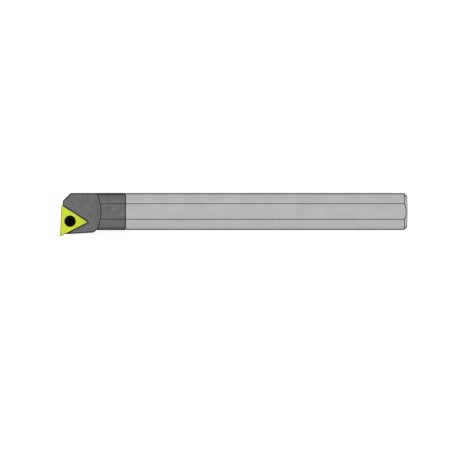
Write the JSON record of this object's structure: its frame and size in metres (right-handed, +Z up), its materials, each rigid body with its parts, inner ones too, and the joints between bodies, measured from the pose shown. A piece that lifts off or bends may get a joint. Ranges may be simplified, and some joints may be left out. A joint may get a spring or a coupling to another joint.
{
  "type": "boring bar",
  "caption": "Round boring bar with two flats, a brazed steel head and a screwed-on triangular insert, for turning the inside of a bore in a lathe.",
  "frame": {"origin": "centre of the rear end face, on the shank's axis", "axes": "+X along the shank from the cutting head towards the rear end, +Z up from the rake face, so the cutting corner lies at -X and -Y in the plane z = 0"},
  "size_m": [0.1778, 0.0222, 0.0174],
  "materials": {
    "ground_carbide": "ground, satin",
    "braze": "satin",
    "dark_steel": "blackened, milled, satin",
    "coated_carbide": "hard coated, satin",
    "black_screw": "black oxide, oiled"
  },
  "bodies": {
    "root": {"shank": "ground_carbide", "braze_joint": "braze", "head": "dark_steel", "insert": "coated_carbide", "insert_screw": "black_screw"}
  },
  "joints": []
}
